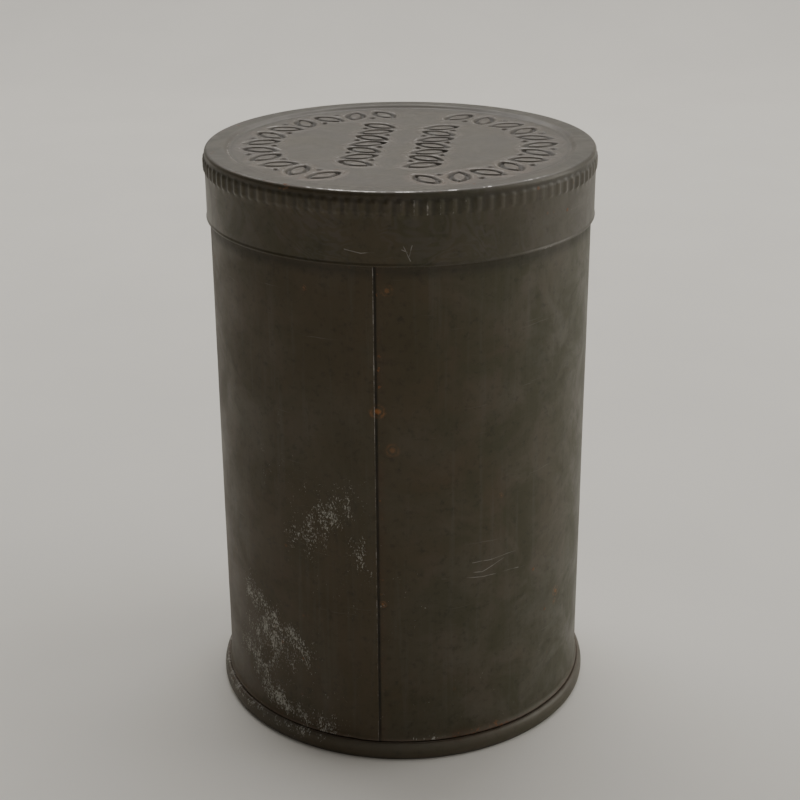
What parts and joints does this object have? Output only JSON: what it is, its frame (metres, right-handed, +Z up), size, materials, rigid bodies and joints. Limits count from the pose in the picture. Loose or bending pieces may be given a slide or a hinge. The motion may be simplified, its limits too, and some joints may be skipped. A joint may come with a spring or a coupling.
{
  "type": "coffee tin",
  "caption": "Tall round slip-lid tin of dark tinplate: lapped side seam, rolled bottom seam, embossed lid with a knurled bead.",
  "frame": {"origin": "centre of the base, on the surface the tin stands on", "axes": "+Z up along the tin's axis; the side seam is just left of -Y, which is the front"},
  "size_m": [0.1354, 0.1354, 0.2013],
  "materials": {
    "wall_tinplate": "dull, darkened tinplate with rust freckles and worn specks",
    "end_tinplate": "dull, darkened tinplate, worn bright along the rolled edge",
    "lid_tinplate": "dull, darkened tinplate, worn and rust-tinted over the pressed ornament",
    "solder": "dull grey solder",
    "compound": "dried black sealing compound",
    "card": "waxed brown card"
  },
  "bodies": {
    "tin": {"body_sheet": "wall_tinplate", "side_seam_solder": "solder", "bottom_end": "end_tinplate", "seam_compound": "compound"},
    "liner": {"lid_liner": "card"},
    "lid": {"lid_cover": "lid_tinplate"}
  },
  "joints": [
    {"name": "lid_lift", "type": "slide", "parent": "tin", "child": "liner", "axis": [0, 0, 1], "range_m": [0, 0.26]},
    {"name": "lid_turn", "type": "hinge", "parent": "liner", "child": "lid", "pos_m": [0, 0, 0.2], "axis": [0, 0, 1], "continuous": true}
  ]
}
